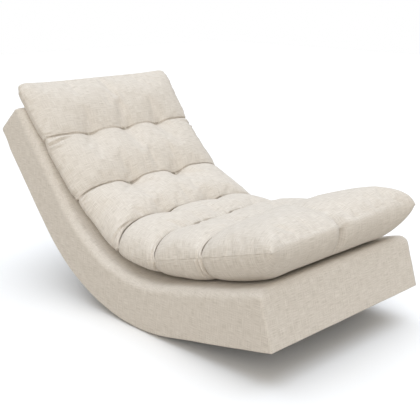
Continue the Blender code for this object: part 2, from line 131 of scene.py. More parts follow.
NOTCH_REACH = 0.040        # how far along its row a tuft's notch reaches
CROWN_TILT = 0.014         # how much fuller the left front corner is stuffed than the middle
EAR_OUT = (0.008, 0.014)   # how far the right and left front corners stand out
EAR_REACH = 0.20
UNDER_LIFT = (0.0045, 0.0015)  # height of the underside over the deck, at the middle and the side edges
UNDER_LIFT_TO = (0.5, 0.8)  # shares of the half width between which the one changes to the other
# How far the side edges draw in, along the run
RIGHT_PULL = ((-0.575, -0.278, 0.050, 0.200, 0.320, 0.385, 0.450, 0.550, 0.650, 0.892),
              (0.0, 0.006, 0.007, 0.012, 0.028, 0.024, 0.014, 0.008, 0.006, 0.0))
LEFT_PULL = ((-0.575, -0.278, 0.100, 0.200, 0.260, 0.310, 0.370, 0.430, 0.520, 0.620, 0.720, 0.892),
             (0.0, 0.012, 0.005, -0.007, -0.011, -0.013, -0.006, 0.010, 0.015, 0.020, 0.012, 0.0))
FRONT_PULL = 0.004         # the same at the front seam
HEAD_PULL = 0.009
HEAD_OUT = 0.006           # how far the head stands out past its seam's last row
FRONT_ROUND = 0.006        # how far the front corners are rounded off
HEAD_ROUND = 0.015         # and the head corners
FRONT_ROUND_POWER = 40     # how tight to the corners the rounding stays, at the front
HEAD_ROUND_POWER = 24      # and at the head
END_REACH = 0.05           # how far along the mattress the shape of an end seam is felt
END_POWER = 6              # how much closer to the ends and corners their curves stay than a bell or a line
SIDE_ROUND = 5             # how square the sides are in a cut across the mattress; a round has 2
ROW_PINCH = 0.006          # how far a row draws the side seam in
ROW_PINCH_REACH = 0.022
PUCKER_PLACE = -0.015      # where the front seam is drawn in, beside the middle
PUCKER_DEPTH = 0.015
PUCKER_SEAM = 0.022        # width of the bend that it makes in the seam
PUCKER_WIDTH = 0.006       # and of its fold
PUCKER_ABOVE = 0.060       # how far its fold runs over the top and under the mattress
PUCKER_BELOW = 0.090
FRONT_DIP = 0.17           # how much lower the front channel's crown lies behind it
FRONT_DIP_FROM = (0.28, 0.50)  # how far before the contact line the dip starts, and is full
DIP_REACH = 0.11
SEAT_DIP = 0.36            # how much lower the seat's crown lies where it has been sat on
SEAT_DIP_PLACE = (-0.055, -0.125)  # its place across and along, and its reach
SEAT_DIP_REACH = (0.13, 0.07)
SEAM_GROOVE = 0.0016
SEAM_RIPPLE = 0.0012       # small gathers along the side seams
RIPPLE_REACH = 0.012       # how far in from the seam they fade out
RIPPLE_START = 0.004       # and start
RIPPLE_WAVES = ((0.029, 0.0), (0.019, 1.0), (0.047, 0.0))  # their wave lengths and phases
CORNER_FILL = 5.0          # how full the corners are stuffed
# How far in from the seam the underside meets the deck, for each metre of seam height: at the sides along the
# run, and at the ends
UNDERCUT_SIDE = ((-0.575, -0.200, 0.050, 0.350, 0.450, 0.600, 0.750),
                 (1.2, 1.0, 2.45, 2.15, 1.25, 0.85, 0.55))
UNDERCUT_END = 1.25
UNDER_CORNER = 0.4         # how full the underside's corners are stuffed, between 0 and 1
UNDER_CORNER_FILL = 3      # and how square the full ones are
UNDER_ROWS = 0.2           # how little the rows lift the underside: a power of what they leave of the crown
FINE_STEP = (0.0041, 0.0052)  # grid steps of the finished mattress, along and across
CAGE_STEP = 0.0085         # grid step of the simulated one
CROWDING = 0.6             # how much closer the grid lines are at a row and at the seam
LINE_POINTS = 400          # points of the dense curves that space the grid lines along
CROSS_POINTS = 2000        # and across
RISE_PARTS = 3             # the part of a channel's crown that counts in that spacing: one in so many
ON_ROW = 0.9999            # a place in its channel past this lies on the row
ON_SEAM = 0.99999          # a share of the half width past this lies on the side seam

# Simulated swelling of the mattress
SPARE_CLOTH = 0.020        # how much larger the cover is cut than the form
ROW_HOLD = 0.55            # how firmly a row is held; a tuft and a seam have 1
TUFT_HOLD = 0.009          # how far from a tuft the cloth is held firmly
SWELL_FRAMES = 20
SWELL_LIMIT = 0.024        # how far the simulation may move a point
SIDE_HOLD = 0.55           # how much less it may at the side seams
SIDE_HOLD_POWER = 6        # how close to the seams this stays

# Folds at the ends of the rows: row, run from the row at the side seam and at the fold's end, length, depth
TOP_PLEATS = ((5, -0.027, -0.016, 0.115, 0.0085), (5, -0.045, -0.049, 0.065, 0.0080),
              (5, 0.014, 0.010, 0.040, 0.0030), (3, 0.030, 0.003, 0.140, 0.0065),
              (2, 0.014, 0.008, 0.070, 0.0040), (1, 0.016, 0.010, 0.050, 0.0030),
              (4, -0.020, -0.012, 0.050, 0.0030))
UNDER_PLEATS = ((1, 0.018, 0.014, 0.100, 0.0085), (1, 0.005, -0.004, 0.085, 0.0075),
                (2, 0.004, 0.006, 0.070, 0.0050), (3, 0.000, 0.000, 0.060, 0.0050),
                (4, 0.000, 0.002, 0.050, 0.0040), (5, 0.000, 0.000, 0.050, 0.0040))
PLEAT_WIDTH = 0.0028
LEFT_PLEATS = 0.4          # how deep they are on the left, as a share of the right
FOLD_RIDGE = (0.7, 2.2, 1.4)  # height, place and width of the ridge beside a fold, for a groove of 1
FOLD_START = 0.010         # how far in from the seam a fold starts
FOLD_FADE = 0.6            # share of its length over which it fades out

# Tufting thread
THREAD_RADIUS = 0.0010
THREAD_GAP = 0.0022        # half the distance between a tuft's two loops
THREAD_REACH = 4           # grid lines that a loop spans on each side of its row
THREAD_POINTS = 60
THREAD_SIDES = 8

# Weave of the cloth, in threads
THREAD_SPREAD = 7.31       # how far apart neighbouring threads read the noise of their tone
TONE_CHANGE = 0.040        # how fast that noise runs along a thread
STREAK_ACROSS = 0.75       # how fast the noise of the streaks runs across them
STREAK_ALONG = 0.045       # and along them
WARP_STREAKS = 0.31        # share of the streaks along the warp in the tone,
WEFT_STREAKS = 0.39        # of those along the weft,
THREAD_TONE = 0.3          # and of the single threads
THREAD_DIVE = 0.5          # how far a thread dives under a crossing one
THREAD_BACK = 0.6          # height of a thread's round back, beside the threads' unlike heights

# Wood grain and speckled finishes
RING_WAVES = 40.0          # radians of the rings' wave over the range of the noise that warps it
RING_TONE = 0.2            # share of the rings in the tone,
PORE_TONE = 0.5            # of the pores,
WOOD_TONE = 0.25           # and of the plain wood
SPECKLE_ROUGHNESS = 0.3    # how much the roughness of a speckled finish varies

WELD = 0.00001             # points closer than this are one


def place(x, run, depth):
    """Points of places on the profile: on the arc the slope is the run over the deck radius, and past the
    arc's ends the profile runs on straight."""
    angle = np.clip(run / DECK_RADIUS, -FRONT_ANGLE, BACK_ANGLE)
    past = run - angle * DECK_RADIUS
    y = (BELLY_RADIUS - depth) * np.sin(angle) + past * np.cos(angle)
    z = BELLY_RADIUS - (BELLY_RADIUS - depth) * np.cos(angle) + past * np.sin(angle)
    return np.stack(np.broadcast_arrays(x, y + ORIGIN[1], z + ORIGIN[2]), axis=-1)


# The contact line's place, from the solids: the side cover's lowest y at the front and its top at the head
ORIGIN = np.zeros(3)
ORIGIN[1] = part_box("side_cover_right")[0].y - place(0, RUN_FRONT, COVER_DEPTH)[1]
ORIGIN[2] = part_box("side_cover_right")[1].z - place(0, RUN_HEAD, BAND_DEPTH)[2]


def smooth_step(value, low, high):
    """0 below low, 1 above high, with an even S curve between them."""
    t = np.clip((value - low) / (high - low), 0, 1)
    return t * t * (3 - 2 * t)


def grid_quads(rows, columns, first):
    """Corner numbers of a grid's faces, its points being numbered row by row from first."""
    number = first + np.arange(rows * columns).reshape(rows, columns)
    corners = [number[:-1, :-1], number[:-1, 1:], number[1:, 1:], number[1:, :-1]]
    return np.stack(corners, axis=-1).reshape(-1, 4)


def sheets_mesh(name, sheets):
    """One mesh of grid sheets, each given as points and cloth coordinates over the same grid. Borders that
    fall together are merged, and the faces are turned outwards."""
    quads, count = [], 0
    for points, _ in sheets:
        quads.append(grid_quads(*points.shape[:2], count))
        count += points.shape[0] * points.shape[1]
    quads = np.concatenate(quads)
    mesh = bpy.data.meshes.new(name)
    mesh.from_pydata(np.concatenate([points.reshape(-1, 3) for points, _ in sheets]), [], quads)
    cloth = np.concatenate([uv.reshape(-1, 2) for _, uv in sheets])
    mesh.uv_layers.new(name="cloth").data.foreach_set("uv", cloth[quads.ravel()].ravel())
    shape = bmesh.new()
    shape.from_mesh(mesh)
    bmesh.ops.remove_doubles(shape, verts=shape.verts, dist=WELD)
    bmesh.ops.recalc_face_normals(shape, faces=shape.faces)
    if shape.calc_volume(signed=True) < 0:
        bmesh.ops.reverse_faces(shape, faces=shape.faces)
    shape.to_mesh(mesh)
    shape.free()
    mesh.shade_smooth()
    return mesh


def add_piece(name, mesh, material, body):
    """Puts a mesh into the scene as a piece that moves with a body."""
    mesh.materials.append(material)
    piece = bpy.data.objects.new(name, mesh)
    bpy.context.scene.collection.objects.link(piece)
    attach(piece, body)
    return piece


# Base upholstery


def rounded_steps(low, high, round_low, round_high, step):
    """Places from one edge to the other: even ones in the middle, and at each edge those that cut half of
    its rounding into equal angles (edge less radius, plus radius times the tangent of the angle)."""
    bend = np.tan(np.linspace(0, pi / 4, ROUND_CUTS + 1))[1:]
    first = (low + round_low - round_low * bend)[::-1]
    middle = np.linspace(low + round_low, high - round_high, int((high - low) / step))
    last = high - round_high + round_high * bend
    return np.concatenate([first, middle, last])


def soft_waves(a, b):
    """Low waves of stretched cloth, within -1 and 1: the mean of slanted sines of unlike length and phase."""
    return sum(np.sin(k * a + m * b + phase) for k, m, phase in SLACK_WAVES) / len(SLACK_WAVES)


def belly_sag(run):
    """How far the cloth under the belly hangs down: an S curve along the run, none at the contact line."""
    return BELLY_SAG * smooth_step(-run, *BELLY_SAG_FROM)


def front_roll(run):
    """How far the deck's padding rises at the front: an S curve along the run."""
    return FRONT_ROLL * smooth_step(-run, *FRONT_ROLL_FROM)


def rounded_shell(x, run, depth):
    """Points of the box surface in profile places, drawn in to round its edges: a point keeps its nearest
    place in the box that is smaller by the radii, and lies one radius from there, as
    ((x^k + run^k)^(2/k) + depth^2) measures it. The radii are small at the bottom and grow towards the top.
    At the front the underside sags, the deck's padding rises, and the end panel leans back evenly."""
    x, run, depth = np.broadcast_arrays(x, run, depth)
    grown = smooth_step(depth, *ROUND_GROWS)
    to_head = smooth_step(run, SHELL_HEAD - LOW_GROWS[0], SHELL_HEAD - LOW_GROWS[1])
    low = ROUND_LOW + (ROUND_LOW_HEAD - ROUND_LOW) * to_head
    side, end, up = (low + (size - low) * grown for size in (ROUND_SIDE, ROUND_END, ROUND_TOP))
    core = np.stack([np.clip(x, side - SHELL_HALF, SHELL_HALF - side),
                     np.clip(run, SHELL_FRONT + end, SHELL_HEAD - end),
                     np.clip(depth, BELLY_DEPTH + low, BAND_DEPTH - ROUND_TOP)], axis=-1)
    sag = belly_sag(run) * (1 - smooth_step(depth, BELLY_DEPTH, BAND_DEPTH - ROUND_TOP))
    radii = np.stack([side, end, up], axis=-1)
    out = (np.stack([x, run, depth], axis=-1) - core) / radii
    level = (np.abs(out[..., :2]) ** UPRIGHT_SHARPNESS).sum(axis=-1) ** (1 / UPRIGHT_SHARPNESS)
    out /= np.hypot(level, out[..., 2])[..., None]
    slack = SLACK * (soft_waves(x + depth, run + 2 * depth) - 1)
    edge = np.sort(np.abs(out), axis=-1)[..., 1]
    welt = WELT_DEPTH * np.exp(-((edge - np.sqrt(0.5)) * up / WELT_WIDTH) ** 2)
    around = core + out * (radii + (slack - welt)[..., None])
    roll = front_roll(run) * smooth_step(depth, BELLY_DEPTH, BAND_DEPTH - ROUND_TOP)
    lean = FRONT_LEAN * (around[..., 2] - BELLY_DEPTH) / (BAND_DEPTH - BELLY_DEPTH)
    lean = lean * (1 - smooth_step(run, SHELL_FRONT + ROUND_END, SHELL_FRONT + FRONT_LEAN_REACH))
    return place(around[..., 0], around[..., 1] + lean, around[..., 2] - sag + roll)


def base_upholstery():
    """The padded cloth shell round the carcass: six panels of one rounded box, carried along the profile."""
    across = rounded_steps(-SHELL_HALF, SHELL_HALF, ROUND_SIDE, ROUND_SIDE, SHELL_STEPS[0])
    along = rounded_steps(SHELL_FRONT, SHELL_HEAD, ROUND_END, ROUND_END, SHELL_STEPS[1])
    up = rounded_steps(BELLY_DEPTH, BAND_DEPTH, ROUND_LOW, ROUND_TOP, SHELL_STEPS[2])
    sheets = []
    for x in (-SHELL_HALF, SHELL_HALF):
        points = rounded_shell(x, along[:, None], up)
        sheets.append((points, points[..., 1:]))
    for depth in (BELLY_DEPTH, BAND_DEPTH):
        points = rounded_shell(across, along[:, None], depth)
        sheets.append((points, np.stack(np.broadcast_arrays(across, along[:, None]), axis=-1)))
    for run in (SHELL_FRONT, SHELL_HEAD):
        points = rounded_shell(across, run, up[:, None])
        sheets.append((points, np.stack(np.broadcast_arrays(across, up[:, None]), axis=-1)))
    shell = add_piece("base_upholstery", sheets_mesh("base_upholstery", sheets), linen, "base")
    covers = ["deck_cover", "front_cover", "head_cover", "side_cover_right", "side_cover_left"]
    pads = ["deck_foam", "front_pad", "head_pad", "side_pad_right", "side_pad_left"]
    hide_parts(*covers, *pads)


def belly_lining():
    """A sheet of dark lining under the belly, carried along the profile inside the shell's edges. Its hem
    curls up to the shell in an S curve."""
    half = WIDTH / 2 - LINING_MARGIN
    across = np.linspace(-half, half, LINING_GRID[0])
    along = np.linspace(RUN_FRONT + LINING_MARGIN, RUN_HEAD - LINING_MARGIN, LINING_GRID[1])[:, None]
    inside = np.minimum(half - np.abs(across), np.minimum(along - along[0], along[-1] - along))
    depth = BELLY_DEPTH - (BELLY_DEPTH - LINING_DEPTH) * smooth_step(inside, 0, LINING_HEM)
    points = place(across, along, depth - belly_sag(along))
    cloth = np.stack(np.broadcast_arrays(across, along), axis=-1)
    mesh = sheets_mesh("belly_lining", [(points, cloth)])
    piece = add_piece("belly_lining", mesh, lining, "base")
    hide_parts("belly_cover")


# Mattress


def path_lengths(curve):
    """Length along a curve given by its points, from the first point to each of them."""
    return np.concatenate([[0], np.cumsum(np.linalg.norm(np.diff(curve, axis=0), axis=1))])


def equal_lengths(curve, count, crowding):
    """Parameters from 0 to 1 that cut a dense curve, given by its points, into equal lengths, or into
    lengths that are shorter at the ends by the crowding."""
    length = path_lengths(curve)
    even = np.linspace(0, 1, count + 1)
    steps = even - crowding * np.sin(2 * pi * even) / (2 * pi)
    return np.interp(steps * length[-1], length, np.linspace(0, 1, len(curve)))


def curve_length(curve):
    """Length of a curve given by its points."""
    return np.linalg.norm(np.diff(curve, axis=0), axis=-1).sum()


def tufts(row):
    """The x places of a row's tufts: three in rows 2 and 5, two in the others."""
    return (-TUFT_PITCH, 0.0, TUFT_PITCH) if row % 3 == 2 else (-TUFT_PITCH * 2 / 3, TUFT_PITCH * 2 / 3)


def at_tufts(row, x, reach):
    """Bell-shaped humps at a row's tufts, one high."""
    return sum(np.exp(-((x - tuft) / reach) ** 2) for tuft in tufts(row))


def row_shift(row, across):
    """How far a row lies headwards of its tufts: it arches between them, a bell-shaped stretch being held
    back at each, and turns off at the side edges with a power of the place across."""
    held = at_tufts(row, across * MATTRESS_HALF, ARCH_REACH)
    bend = np.where(across < 0, *ROW_BEND[:, row]) * np.abs(across) ** ROW_BEND_POWER
    return ROW_ARCH[row] * (1 - held) + bend


def row_share(row, across):
    """Share of the crown left along a row: it changes towards the side edges with a power of the place
    across, and is lower at the tufts by bell-shaped dimples."""
    edge = np.where(across < 0, *ROW_SHARE_EDGE[:, row])
    left = ROW_SHARE[row] + (edge - ROW_SHARE[row]) * np.abs(across) ** ROW_SHARE_POWER
    return left * (1 - TUFT_DEPTH[row] * at_tufts(row, across * MATTRESS_HALF, TUFT_RADIUS))


def channel_swell(q, ease=0.0):
    """Height of the stuffing between two rows: (1 - |q|^round)^(soft + ease)."""
    return np.clip(1 - np.abs(q) ** CHANNEL_ROUND, 0, 1) ** (CHANNEL_SOFT + ease)


def under_swell(q):
    """The same under a channel, flattened by the deck: (1 - q^4)^0.5."""
    return np.clip(1 - q ** 4, 0, 1) ** 0.5


def soft_minimum(a, b, k):
    """The lower of two shares, rounded off where they meet, 1 - ((1 - a)^k + (1 - b)^k)^(1/k), and not below
    their product."""
    return np.maximum(1 - ((1 - a) ** k + (1 - b) ** k) ** (1 / k), a * b)


def undercut(distance):
    """Share of the way down to the deck at a distance from the seam: a quarter of an ellipse, which is
    upright at the seam and flat on the deck from the distance 1 on."""
    return np.sqrt(1 - np.clip(1 - distance, 0, 1) ** 2)


def mattress_lines(step, crowding):
    """Grid lines along the mattress, spaced over the swells: each line's channel and its place q in it, from
    -1 at the channel's front row to 1 at its back row."""
    channels, places = [], []
    dense = np.linspace(-1, 1, LINE_POINTS)
    for channel in range(len(ROWS) - 1):
        length = ROWS[channel + 1] - ROWS[channel]
        rise = CROWN_HEIGHTS[channel] / RISE_PARTS
        curve = np.stack([dense * length / 2, rise * channel_swell(dense)], axis=1)
        q = 2 * equal_lengths(curve, round(curve_length(curve) / step), crowding) - 1
        q = q if channel == 0 else q[1:]
        channels.append(np.full(len(q), channel))
        places.append(q)
    return np.concatenate(channels), np.concatenate(places)


def side_round(angle):
    """Places on the rounded cut across the mattress, at angles from its right seam: the share of the half
    width and the height over the seam, which follow |across|^k + height^2 = 1."""
    return -np.sign(np.cos(angle)) * np.abs(np.cos(angle)) ** (2 / SIDE_ROUND), np.sin(angle)


def mattress_cross(step, crowding):
    """Places across the mattress, spaced over its rounded sides at the seat's crown."""
    across, height = side_round(np.linspace(0, pi, CROSS_POINTS))
    curve = np.stack([across * MATTRESS_HALF, height * CROWN_HEIGHTS[2]], axis=1)
    return side_round(pi * equal_lengths(curve, 2 * round(curve_length(curve) / step / 2), crowding))


def line_runs(lines):
    """Runs of the grid lines in the middle of the mattress."""
    channel, q = lines
    return ROWS[channel] + (q + 1) / 2 * (ROWS[channel + 1] - ROWS[channel])


def row_line(lines, row):
    """Number of the grid line that lies on a row."""
    channel, q = lines
    return np.flatnonzero((channel == row - 1) & (q > ON_ROW))[0]


def mattress_form(lines, cross, underside):
    """Points of the mattress's top or underside over its grid lines. The height over the deck is the seam's,
    plus the crown times what the rows leave of it times the soft minimum of the swells across and at the
    ends. Bell-shaped dips lower the crown behind the pucker and where the seat has been sat on, and at the
    front it tilts across. The underside goes down from the seam to the deck in the same way. The lines follow
    the rows' arches, and the edges draw in between the corners and at each row."""
    channel, q = lines[0], lines[1][:, None]
    across, swell_across = cross
    line = line_runs(lines)[:, None]
    x = across * MATTRESS_HALF
    seam = np.interp(line, ROWS, SEAM_HEIGHTS)
    dip = FRONT_DIP * np.exp(-((x - PUCKER_PLACE) / DIP_REACH) ** 2) * smooth_step(-line, *FRONT_DIP_FROM)
    aside = (x - SEAT_DIP_PLACE[0]) / SEAT_DIP_REACH[0]
    ahead = (line - SEAT_DIP_PLACE[1]) / SEAT_DIP_REACH[1]
    sat = SEAT_DIP * np.exp(-(aside ** 2 + ahead ** 2))
    tilt = CROWN_TILT * across * np.exp(-((line - ROWS[0]) / EAR_REACH) ** 2)
    crown = np.interp(line, ROWS, CROWN_HEIGHTS) * (1 - dip - sat) + tilt
    skew = np.interp(line, ROWS, SKEW)

    pinch = sum(np.exp(-((line - row) / ROW_PINCH_REACH) ** 2) for row in ROWS[1:-1])
    at_front = np.exp(-((line - ROWS[0]) / END_REACH) ** 2)
    at_head = np.exp(-((line - ROWS[-1]) / END_REACH) ** 2)
    pull = np.where(across < 0, *(np.interp(line, *edge) for edge in (RIGHT_PULL, LEFT_PULL)))
    rounded = FRONT_ROUND * at_front ** END_POWER + HEAD_ROUND * at_head ** END_POWER
    half = MATTRESS_HALF - pull - ROW_PINCH * pinch - rounded / 2
    at_seam = np.abs(across) > ON_SEAM
    pucker = PUCKER_DEPTH * np.exp(-((x - PUCKER_PLACE) / PUCKER_SEAM) ** 2)
    corner = across ** END_POWER
    ears = np.where(across < 0, *EAR_OUT) * corner
    front = FRONT_PULL * (1 - corner) - ears + FRONT_ROUND * np.abs(across) ** FRONT_ROUND_POWER + pucker
    head = HEAD_OUT - HEAD_PULL * (1 - corner) - HEAD_ROUND * np.abs(across) ** HEAD_ROUND_POWER
    drawn = at_front * front + at_head * head
    shift = np.stack([row_shift(row, across) for row in range(len(ROWS))])
    run = line + shift[channel] + (q + 1) / 2 * (shift[channel + 1] - shift[channel]) + drawn

    left = np.stack([row_share(row, across) for row in range(len(ROWS))])
    left = np.where(q < 0, left[channel], left[channel + 1])
    at_end = ((channel == 0)[:, None] & (q < 0)) | ((channel == len(ROWS) - 2)[:, None] & (q > 0))
    if underside:
        left = left ** UNDER_ROWS
        sides = undercut((1 - np.abs(across)) * MATTRESS_HALF / (np.interp(line, *UNDERCUT_SIDE) * seam))
        ends = undercut(np.minimum(line - ROWS[0], ROWS[-1] - line) / (UNDERCUT_END * seam))
        to_edge = smooth_step(np.abs(across), *UNDER_LIFT_TO)
        lift = UNDER_LIFT[0] + (UNDER_LIFT[1] - UNDER_LIFT[0]) * to_edge + front_roll(run)
        square = soft_minimum(sides, ends, UNDER_CORNER_FILL)
        full = UNDER_CORNER * square + (1 - UNDER_CORNER) * sides * ends
        share = (left + (1 - left) * under_swell(q)) * full
        height = seam - (seam - lift) * share
    else:
        ease = np.where(q < 0, ROW_EASE[1, channel][:, None], ROW_EASE[0, channel + 1][:, None])
        ease = ease * (1 - smooth_step(np.abs(across), *ROW_EASE_TO))
        puff = channel_swell(q + skew * (1 - q ** 2), ease)
        full = soft_minimum(swell_across, np.where(at_end, puff, 1), CORNER_FILL)
        share = (left + (1 - left) * puff) * full
        height = seam + crown * share
    return place(across * (half - SEAM_GROOVE * at_seam), run, BAND_DEPTH + height)


def grid_normals(points):
    """Unit normals of a grid surface: the cross product of its slopes along the two directions."""
    normal = np.cross(np.gradient(points, axis=1), np.gradient(points, axis=0))
    return normal / np.maximum(np.linalg.norm(normal, axis=-1, keepdims=True), 1e-12)


def notches(lines, cross):
    """How far the finished cover is pressed in along the rows: a narrow bell-shaped notch along each, whose
    depth changes between the middle, the tufts and the side edges, and none at the seam."""
    line = line_runs(lines)[:, None]
    across, swell_across = cross
    pressed = np.zeros((len(line), len(across)))
    for row in range(1, len(ROWS) - 1):
        to_edge = smooth_step(np.abs(across), *NOTCH_EDGE_FROM)
        middle = NOTCH_MIDDLE[row] + (NOTCH_EDGE[row] - NOTCH_MIDDLE[row]) * to_edge
        strength = np.maximum(middle, NOTCH_TUFT[row] * at_tufts(row, across * MATTRESS_HALF, NOTCH_REACH))
        pressed += NOTCH_DEPTH[row] * strength * np.exp(-((line - ROWS[row]) / NOTCH_WIDTH) ** 2)
    return pressed * np.sqrt(swell_across)


def fold(off, width):
    """A fold across its line: a narrow bell-shaped groove, and beside it a wider and lower ridge."""
    height, beside, spread = FOLD_RIDGE
    return np.exp(-(off / width) ** 2) - height * np.exp(-((off / width - beside) / spread) ** 2)


def gathers(lines, points, pleats, pucker_length):
    """How far the finished cover is pressed in by the folds that start at its seams, each fading out along
    its length, and by the small ripples along the side seams, which fade out over their reach."""
    line = line_runs(lines)[:, None]
    steps = np.linalg.norm(np.diff(points, axis=1), axis=-1)
    inward = np.concatenate([np.zeros((len(points), 1)), np.cumsum(steps, axis=1)], axis=1)
    steps = np.linalg.norm(np.diff(points, axis=0), axis=-1)
    behind = np.concatenate([np.zeros((1, points.shape[1])), np.cumsum(steps, axis=0)])
    pressed = np.zeros(points.shape[:2])
    for from_seam, strength in ((inward, 1.0), (inward[:, -1:] - inward, LEFT_PLEATS)):
        loose = strength * smooth_step(from_seam, 0, FOLD_START)
        for row, at_seam, at_end, length, depth in pleats:
            t = np.clip(from_seam / length, 0, 1)
            centre = ROWS[row] + at_seam + (at_end - at_seam) * t
            pressed += depth * fold(line - centre, PLEAT_WIDTH) * loose * smooth_step(1 - t, 0, FOLD_FADE)
        wave = sum(np.sin(line * 2 * pi / wave_length + phase) for wave_length, phase in RIPPLE_WAVES)
        ripple = SEAM_RIPPLE * wave * np.exp(-from_seam / RIPPLE_REACH)
        pressed += ripple * smooth_step(from_seam, 0, RIPPLE_START)
    fading = smooth_step(pucker_length - behind, 0, FOLD_FADE * pucker_length)
    faded = smooth_step(behind, 0, FOLD_START) * fading
    return pressed + PUCKER_DEPTH * fold(points[..., 0] - PUCKER_PLACE, PUCKER_WIDTH) * faded


def inflate(points_top, points_under, lines, cross):
    """Cloth simulation of the mattress: its cover, cut a little larger than the form, is blown up from inside
    while its seam, its underside and its tufts are held. Returns how far each point of the top moves."""
    rows, columns = points_top.shape[:2]
    name = "mattress_cage"
    mesh = bpy.data.meshes.new(name)
    top_count = rows * columns
    quads = np.concatenate([grid_quads(rows, columns, 0), grid_quads(rows, columns, top_count)[:, ::-1]])
    number = np.arange(top_count).reshape(rows, columns)
    border = np.ones((rows, columns), bool)
    border[1:-1, 1:-1] = False
    under = np.where(border, number, number + top_count).ravel()
    quads = np.where(quads >= top_count, under[quads - top_count], quads)
    used = np.unique(quads)
    renumber = np.zeros(2 * top_count, int)
    renumber[used] = np.arange(len(used))
    points = np.concatenate([points_top.reshape(-1, 3), points_under.reshape(-1, 3)])[used]
    mesh.from_pydata(points, [], renumber[quads])
    cage = bpy.data.objects.new(name, mesh)
    bpy.context.scene.collection.objects.link(cage)

    hold = np.zeros((rows, columns))
    x = cross[0] * MATTRESS_HALF
    for row in range(1, len(ROWS) - 1):
        line = row_line(lines, row)
        hold[line] = ROW_HOLD
        for tuft in tufts(row):
            hold[line, np.abs(x - tuft) < TUFT_HOLD] = 1
    hold[border] = 1
    weights = np.concatenate([hold.ravel(), np.ones(top_count)])[used]
    pins = cage.vertex_groups.new(name="held")
    for weight in np.unique(weights[weights > 0]):
        pins.add(np.flatnonzero(weights == weight).tolist(), float(weight), "REPLACE")

    cloth = cage.modifiers.new("cloth", "CLOTH")
    settings = cloth.settings
    settings.quality = 5
    settings.mass = 0.3
    settings.tension_stiffness = 15
    settings.compression_stiffness = 15
    settings.shear_stiffness = 5
    settings.bending_stiffness = 1.5
    settings.use_pressure = True
    settings.uniform_pressure_force = 4
    settings.shrink_min = -SPARE_CLOTH
    settings.shrink_max = -SPARE_CLOTH
    settings.vertex_group_mass = "held"
    settings.effector_weights.gravity = 0
    cloth.point_cache.frame_start = 1
    cloth.point_cache.frame_end = SWELL_FRAMES
    for step in range(1, SWELL_FRAMES + 1):
        bpy.context.scene.frame_set(step)
    blown = cage.evaluated_get(bpy.context.evaluated_depsgraph_get()).to_mesh()
    after = np.empty(len(used) * 3)
    blown.vertices.foreach_get("co", after)
    moved = (after.reshape(-1, 3) - points)[:top_count].reshape(rows, columns, 3)
    bpy.context.scene.frame_set(1)
    bpy.data.objects.remove(cage)
    size = np.linalg.norm(moved, axis=-1, keepdims=True)
    held_back = 1 - SIDE_HOLD * np.abs(cross[0]) ** SIDE_HOLD_POWER
    return moved * np.minimum(1, SWELL_LIMIT / np.maximum(size, 1e-9)) * held_back[:, None]


def cubic_weights(places, count):
    """Weights that read a smooth curve through count even values at places from 0 to 1: a cubic from each
    value to the next, whose slope at a value is half the step between its two neighbours."""
    at = np.clip(places * (count - 1), 0, count - 1 - 1e-9)
    first = at.astype(int)
    t = at - first
    basis = [-t / 2 + t ** 2 - t ** 3 / 2, 1 - 2.5 * t ** 2 + 1.5 * t ** 3,
             t / 2 + 2 * t ** 2 - 1.5 * t ** 3, (t ** 3 - t ** 2) / 2]
    weights = np.zeros((len(places), count))
    for k, share in enumerate(basis):
        np.add.at(weights, (np.arange(len(places)), np.clip(first + k - 1, 0, count - 1)), share)
    return weights


def line_places(lines, other):
    """Where one set of grid lines lies between those of another, from 0 to 1."""
    return np.interp(lines[0] + lines[1] / 2, other[0] + other[1] / 2, np.linspace(0, 1, len(other[0])))


def cross_places(cross, other):
    """Where one set of places across lies between those of another, from 0 to 1."""
    turn, other_turn = (np.arctan2(c[1], -c[0]) for c in (cross, other))
    return np.interp(turn, other_turn, np.linspace(0, 1, len(other_turn)))


def mattress():
    """The tufted mattress: its form on a fine grid, with the simulated swelling of a coarser one added, and
    its creases pressed in."""
    lines, cross = mattress_lines(FINE_STEP[0], CROWDING), mattress_cross(FINE_STEP[1], CROWDING)
    top = mattress_form(lines, cross, False)
    under = mattress_form(lines, cross, True)
    cage = mattress_lines(CAGE_STEP, 0.0), mattress_cross(CAGE_STEP, 0.0)
    moved = inflate(mattress_form(*cage, False), mattress_form(*cage, True), *cage)
    along = cubic_weights(line_places(lines, cage[0]), len(cage[0][0]))
    sideways = cubic_weights(cross_places(cross, cage[1]), len(cage[1][0]))
    top = top + np.einsum("ij,jkc,lk->ilc", along, moved, sideways, optimize=True)
    pressed = notches(lines, cross) + gathers(lines, top, TOP_PLEATS, PUCKER_ABOVE)
    top = top - pressed[..., None] * grid_normals(top)
    under = under + gathers(lines, under, UNDER_PLEATS, PUCKER_BELOW)[..., None] * grid_normals(under)
    length = path_lengths(top[:, top.shape[1] // 2])
    width = path_lengths(top[top.shape[0] // 2])
    cloth = np.stack(np.broadcast_arrays(width, length[:, None]), axis=-1)
    mesh = sheets_mesh("mattress_cover", [(top, cloth), (under, cloth)])
    piece = add_piece("mattress_cover", mesh, linen, "mattress")
    fills = [f"mattress_fill_{k + 1}" for k in range(len(ROWS) - 1)]
    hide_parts("mattress_top_cover", "mattress_bottom_cover", *fills)
    tuft_threads(lines, top, under)


